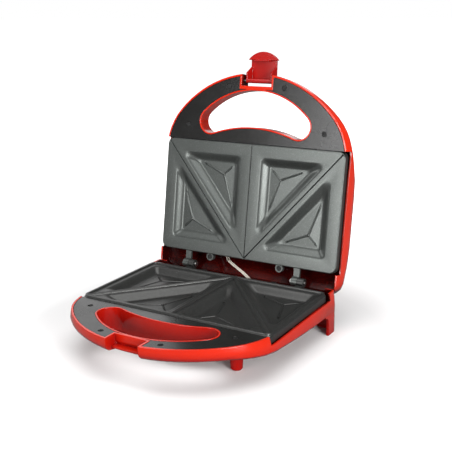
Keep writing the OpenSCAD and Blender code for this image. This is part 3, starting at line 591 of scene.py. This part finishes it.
def press_well(form, face, outer, side):
    """One quarter of a plate's face, a grid whose rows are laid along the rings."""
    rings = well_rings(face, outer)
    count = len(rings[0])
    rows = len(rings) - 1
    half = 0.5
    grid = bmesh.ops.create_grid(form, x_segments=count, y_segments=rows, size=half)["verts"]
    for vert in grid:
        column = round((vert.co.x + half) * count) % count
        row = round((vert.co.y + half) * rows)
        point, height = rings[row][column]
        if row <= len(LAND_STEPS):
            point = round_outline(point)
        vert.co = (point.x * side, point.y, height)


def roll_edge(skin, face):
    """Grows the skin's open edge over the bevel and down the plate's outside, in the edge's coat of painted
    light.
    """
    for share in (*ROLL_STEPS, None):
        rim = [side for side in skin.edges if len(side.link_faces) == 1]
        grown = bmesh.ops.extrude_edge_only(skin, edges=rim)["geom"]
        for item in grown:
            if isinstance(item, bmesh.types.BMFace):
                item.material_index = PAINTED_LIGHT_SLOT
        for vert in grown:
            if not isinstance(vert, bmesh.types.BMVert):
                continue
            hub = Vector((clamp(vert.co.x, CORNER_R - HALF_W, HALF_W - CORNER_R),
                          clamp(vert.co.y, CORNER_R - PLATE_D, -CORNER_R)))
            away = (vert.co.xy - hub).normalized()
            bend = (share or 1.0) * math.pi / 2
            out = CORNER_R + BEVEL * math.sin(bend)
            height = face["face"] + BEVEL * (1 - math.cos(bend)) if share else EDGE_H
            vert.co = (*(hub + away * out), height)


def pressed_skin(face):
    """The smooth front of a plate with its rolled edge, in place, as a mesh."""
    skin = bmesh.new()
    for side in (-1, 1):
        for outer in (False, True):
            press_well(skin, face, outer, side)
    bmesh.ops.remove_doubles(skin, verts=skin.verts, dist=SKIN_MERGE)
    roll_edge(skin, face)
    bmesh.ops.recalc_face_normals(skin, faces=skin.faces)
    widest = max(skin.faces, key=lambda facet: facet.calc_area())
    if widest.normal.z > 0:
        bmesh.ops.reverse_faces(skin, faces=skin.faces)
    # The raised rim and ridges wear the edge's coat, a painted highlight
    raised = face["face"] - RAISED_SHARE * face["rim"]
    for facet in skin.faces:
        if face["rim"] and facet.calc_center_median().z < raised:
            facet.material_index = PAINTED_LIGHT_SLOT
    for vert in skin.verts:
        vert.co = (face["place"] @ vert.co) * MM
    if face["place"].to_3x3().determinant() < 0:
        bmesh.ops.reverse_faces(skin, faces=skin.faces)
    settle(skin)
    mesh = bpy.data.meshes.new("pressed_face")
    skin.to_mesh(mesh)
    skin.free()
    return mesh


def old_front(form, face):
    """The faces of a plate's front, bevel and outer edge, which the smooth skin takes over."""
    back = face["place"].inverted()
    turn = back.to_3x3()
    old = []
    for facet in form.faces:
        spot = back @ (facet.calc_center_median() / MM)
        aim = (turn @ facet.normal).normalized()
        beyond = max(abs(spot.x) - HALF_W, abs(spot.y + PLATE_D / 2) - PLATE_D / 2)
        upright = abs(aim.z) < UPRIGHT
        skirt = upright and beyond > SKIRT_FROM
        front = aim.z < FACING_FRONT or spot.z < face["face"] + FRONT_SLACK
        line_end = upright and facet.calc_area() < LINE_END_AREA and spot.z < face["floor"]
        if beyond < SKIRT_TO and (skirt or front or line_end):
            old.append(facet)
    return old


def renew_face(form, face):
    """Swaps the faceted front of a plate for one with round lips, and rolls its edge over."""
    bmesh.ops.delete(form, geom=old_front(form, face), context="FACES")
    fresh = pressed_skin(face)
    form.from_mesh(fresh)
    bpy.data.meshes.remove(fresh)


# ---- the leads that cross from the base into the lid, in millimetres from the plates' back ----

LEAD_ROUTE = (
    (31, -15.1, -25), (30, -9, -23), (27, -2.5, -17.5), (22, 3.5, -10.5), (15, 8, -4), (5, 11.5, 1.5),
    (-6, 15, 5.5), (-16, 19.5, 8.5), (-24, 26, 9.5), (-30, 33.4, 13), (-33, 38, 20),
)
LEAD_R = 0.8 * MM
LEAD_APART = 1.22 * MM
ROUTE_STEPS = 4
ACROSS_FROM = Vector((0.2, 0, 1))
PLATES_BACK = Vector((0, PLACE_Y, STAND_H))


def smooth_route(points, steps):
    """Points on a smooth curve through the given ones."""
    ends = [points[0] * 2 - points[1], *points, points[-1] * 2 - points[-2]]
    route = []
    for a, b, c, d in zip(ends, ends[1:], ends[2:], ends[3:]):
        for step in range(steps):
            t = step / steps
            route.append(0.5 * (2 * b + (c - a) * t + (2 * a - 5 * b + 4 * c - d) * t * t
                                + (3 * b - a - 3 * c + d) * t ** 3))
    return route + [points[-1]]


def heading(route, index):
    """The way that a route runs at one of its points."""
    return route[min(index + 1, len(route) - 1)] - route[max(index - 1, 0)]


def tube(form, route, radius, sides=12):
    """A round tube swept along a route by extruding its first ring."""
    ring = None
    for index, point in enumerate(route):
        turn = heading(route, index).to_track_quat("Z", "Y").to_matrix().to_4x4()
        place = Matrix.Translation(point) @ turn
        if ring is None:
            ring = bmesh.ops.create_circle(form, segments=sides, radius=radius, cap_ends=True,
                                           matrix=place)["verts"]
        else:
            rim = [side for side in form.edges if all(vert in ring for vert in side.verts)]
            grown = bmesh.ops.extrude_edge_only(form, edges=rim)["geom"]
            ring = [item for item in grown if isinstance(item, bmesh.types.BMVert)]
            bmesh.ops.transform(form, verts=ring, matrix=place @ last.inverted())
        last = place
    bmesh.ops.contextual_create(form, geom=ring)


def leads():
    """Two sleeved leads side by side, from the base's back over the hinge line into the lid."""
    route = smooth_route([(PLATES_BACK + Vector(point)) * MM for point in LEAD_ROUTE], ROUTE_STEPS)
    form = bmesh.new()
    for side in (-1, 1):
        aside = []
        for index, point in enumerate(route):
            across = heading(route, index).cross(ACROSS_FROM).normalized()
            aside.append(point + across * side * LEAD_APART)
        tube(form, aside, LEAD_R)
    bmesh.ops.recalc_face_normals(form, faces=form.faces)
    for face in form.faces:
        face.smooth = len(face.verts) == 4
    settle(form)
    mesh = bpy.data.meshes.new("lead_sleeves")
    form.to_mesh(mesh)
    form.free()
    piece = placed("lead_sleeves", mesh)
    wear(piece, WOVEN)
    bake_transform(piece)
    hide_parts("wire_sleeve")


def dress():
    """Every part with its finish; the lower plate wears a darker copy of the coat as painted shade."""
    finished("lower_housing", "base_shell", RED, "base")
    finished("upper_housing", "lid_shell", RED, "lid")
    finished("lower_cooking_plate", "base_plate", COAT_SHADED, "base", angle=50, face=LOWER_FACE)
    finished("upper_cooking_plate", "lid_plate", COAT, "lid", angle=50, face=UPPER_FACE)
    finished("lower_handle_trim", "base_inlay", BLACK, "base", edge=0.35 * MM)
    finished("upper_handle_trim", "lid_inlay", BLACK, "lid", edge=0.35 * MM)
    finished("latch_clip", "hook_latch", RED_CLIP, "latch", edge=0.3 * MM)
    for node, body in (("lower_trim_screws", "base"), ("lower_plate_screws", "base"),
                       ("upper_trim_screws", "lid"), ("upper_plate_screws", "lid")):
        finished(node, node + "_heads", SCREW, body, edge=0.15 * MM)
    for node, finish in (
            ("lower_heating_element", STEEL), ("upper_heating_element", STEEL),
            ("lower_element_clamp", STEEL), ("upper_element_clamp", STEEL),
            ("lower_clamp_screw", STEEL), ("upper_clamp_screw", STEEL),
            ("lower_reflector", SHEET), ("upper_reflector", SHEET),
            ("hinge_pins", STEEL), ("latch_pin", STEEL),
            ("lower_element_bushes", WHITE), ("upper_element_bushes", WHITE),
            ("terminal_block", WHITE), ("thermal_fuse", WHITE), ("thermostat", WHITE),
            ("cord_inlet_bush", RUBBER), ("lamp_carrier", BLACK),
            ("power_lamp_lens", RED_LENS), ("ready_lamp_lens", GREEN_LENS)):
        wear(NODES[node], finish)


# ---- studio, in metres ----

# The floor is pale to the camera, and darker to light that bounces off it onto the toaster
FLOOR_HALF = 12
FLOOR_BOUNCE = 0.22
FLOOR_SEEN = 0.8
# The floor turns white over these distances from the toaster's middle
GLOW_REACH = (0.2, 0.5)
AIR = 0.13
LAMPS = (
    # name, place, aim, width and height, power
    ("top_softbox", (0.1, -0.25, 1.5), (0, 0, 0), (1.8, 1.4), 25),
    ("front_softbox", (-0.42, -2.0, 0.4), (0, 0, 0.15), (0.7, 0.9), 25),
    ("right_softbox", (1.45, -0.75, 0.5), (0, 0, 0.12), (0.7, 0.8), 35),
    ("left_softbox", (-1.5, -0.3, 0.6), (0, 0, 0.12), (0.4, 0.9), 5),
    ("back_softbox", (-1.1, 1.9, 0.9), (0, 0, 0.12), (1.6, 1.1), 7),
)
CAMERA_AT = (0.44616, -0.68520, 0.35131)
# Turn round the toaster, rise over the table and tilt of the picture, in degrees
CAMERA_ANGLES = (31.20, 15.59, -0.936)
CAMERA_LENS = 65.0
CAMERA_SENSOR = 36.0


def pale_floor():
    """Pale floor that shows the toaster's shadow and fades to white."""
    form = bmesh.new()
    bmesh.ops.create_grid(form, x_segments=1, y_segments=1, size=FLOOR_HALF)
    mesh = bpy.data.meshes.new("studio_floor")
    form.to_mesh(mesh)
    form.free()
    ground = placed("studio_floor", mesh)
    material, tree, shader = blank("pale_floor")
    seen = add(tree, "ShaderNodeLightPath").outputs["Is Camera Ray"]
    tree.links.new(colour_mix(tree, seen, grey(FLOOR_BOUNCE), grey(FLOOR_SEEN)), shader.inputs["Base Color"])
    shader.inputs["Roughness"].default_value = 0.9
    shader.inputs["Specular IOR Level"].default_value = 0.0
    place = add(tree, "ShaderNodeTexCoord")
    away = add(tree, "ShaderNodeVectorMath", operation="LENGTH")
    tree.links.new(place.outputs["Object"], away.inputs[0])
    glow = product(tree, seen, ramp(tree, away.outputs["Value"], *GLOW_REACH))
    tree.links.new(glow, shader.inputs["Emission Strength"])
    shader.inputs["Emission Color"].default_value = grey(1.0)
    wear(ground, material)


def air():
    """White all round to the camera, and dim to the toaster."""
    world = bpy.data.worlds.new("studio_air")
    bpy.context.scene.world = world
    world.use_nodes = True
    tree = world.node_tree
    tree.nodes.clear()
    path = add(tree, "ShaderNodeLightPath")
    seen = add(tree, "ShaderNodeBackground", {"Color": grey(1.0), "Strength": 1.0})
    lit = add(tree, "ShaderNodeBackground", {"Color": grey(1.0), "Strength": AIR})
    pick = add(tree, "ShaderNodeMixShader")
    out = add(tree, "ShaderNodeOutputWorld")
    tree.links.new(path.outputs["Is Camera Ray"], pick.inputs[0])
    tree.links.new(lit.outputs[0], pick.inputs[1])
    tree.links.new(seen.outputs[0], pick.inputs[2])
    tree.links.new(pick.outputs[0], out.inputs["Surface"])


def lamps():
    """Soft boxes round the toaster."""
    for name, place, aim, size, power in LAMPS:
        lamp = bpy.data.lights.new(name, "AREA")
        lamp.shape = "RECTANGLE"
        lamp.size, lamp.size_y = size
        lamp.energy = power
        holder = placed(name, lamp)
        holder.location = place
        holder.rotation_euler = (Vector(aim) - Vector(place)).to_track_quat("-Z", "Y").to_euler()


def photo_camera():
    """The camera where the photograph was taken from."""
    turn, rise, tilt = (math.radians(angle) for angle in CAMERA_ANGLES)
    back = Vector((math.sin(turn) * math.cos(rise), -math.cos(turn) * math.cos(rise), math.sin(rise)))
    level_right = Vector((math.cos(turn), math.sin(turn), 0))
    level_up = back.cross(level_right)
    right = level_right * math.cos(tilt) + level_up * math.sin(tilt)
    up = level_up * math.cos(tilt) - level_right * math.sin(tilt)
    lens = bpy.data.cameras.new("photo_camera")
    lens.lens = CAMERA_LENS
    lens.sensor_width = CAMERA_SENSOR
    camera = placed("photo_camera", lens)
    camera.matrix_world = Matrix.Translation(CAMERA_AT) @ Matrix((right, up, back)).transposed().to_4x4()
    bpy.context.scene.camera = camera


dress()
leads()
bpy.context.scene.view_settings.view_transform = "Standard"
pale_floor()
air()
lamps()
photo_camera()
bpy.context.view_layer.update()
